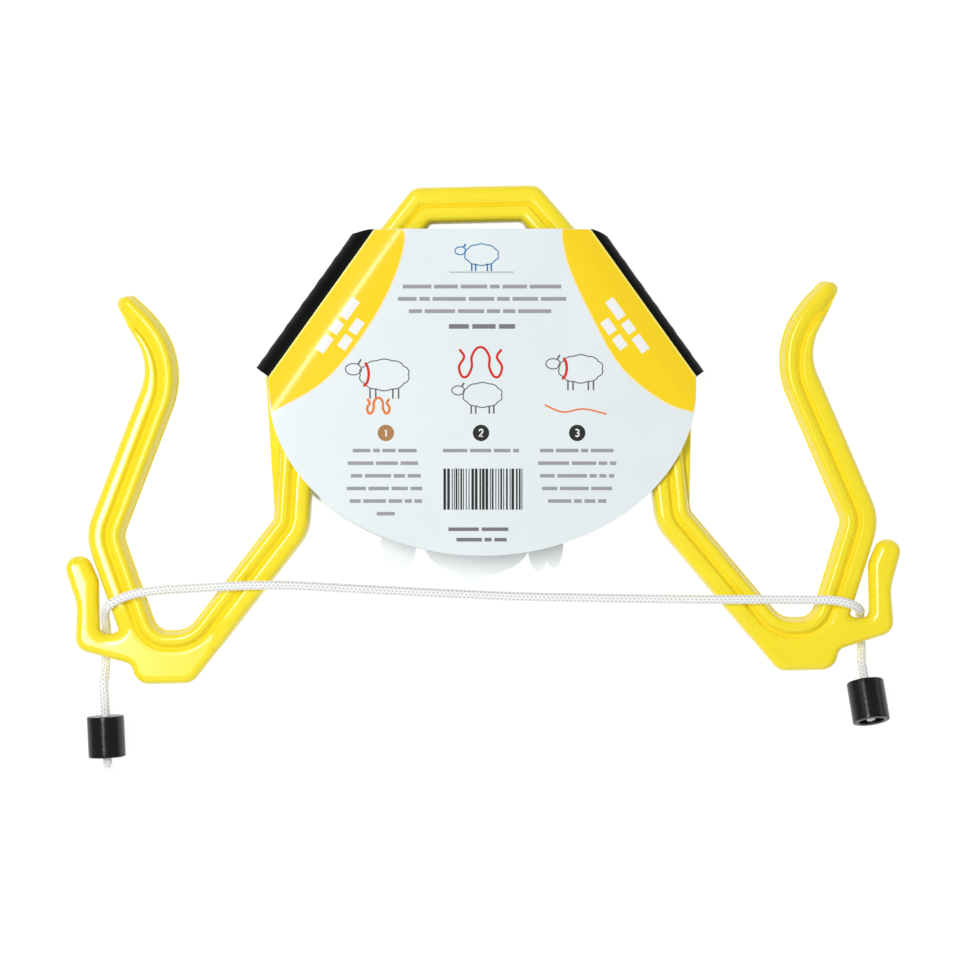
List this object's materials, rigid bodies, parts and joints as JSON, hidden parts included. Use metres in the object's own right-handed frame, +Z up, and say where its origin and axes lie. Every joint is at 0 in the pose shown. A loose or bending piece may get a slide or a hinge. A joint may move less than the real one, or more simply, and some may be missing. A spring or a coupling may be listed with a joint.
{
  "type": "sheep restrainer",
  "caption": "Moulded plastic neck-and-leg yoke for holding a sheep, with a cord across its notched bases, rubber stops on the cord's ends and a folded card sleeve.",
  "frame": {"origin": "on the table under the middle of the yoke, which lies flat on its back", "axes": "+X across the yoke to its right, +Y along it to the handle, +Z up out of the table towards the viewer"},
  "size_m": [0.4686, 0.3205, 0.0302],
  "materials": {
    "yellow_plastic": "glossy moulded yellow",
    "white_braid": "white braided cord",
    "black_rubber": "satin black rubber",
    "white_card": "coated white card",
    "black_card": "printed black card"
  },
  "bodies": {
    "yoke": {"frame": "yellow_plastic", "cord": "white_braid", "left_knot": "white_braid", "right_knot": "white_braid"},
    "sleeve": {"instruction_panel": "white_card", "display_panel": "white_card", "left_gusset": "black_card", "right_gusset": "black_card"},
    "left_stop": {"left_stop": "black_rubber"},
    "right_stop": {"right_stop": "black_rubber"}
  },
  "joints": [
    {"name": "sleeve_slide", "type": "slide", "parent": "yoke", "child": "sleeve", "axis": [0, 1, 0], "range_m": [0, 0.225]},
    {"name": "left_stop_slide", "type": "slide", "parent": "yoke", "child": "left_stop", "axis": [-0.0262, 0.9997, 0], "range_m": [0, 0.016]},
    {"name": "right_stop_slide", "type": "slide", "parent": "yoke", "child": "right_stop", "axis": [-0.0942, 0.9436, -0.3173], "range_m": [0, 0.01]}
  ]
}
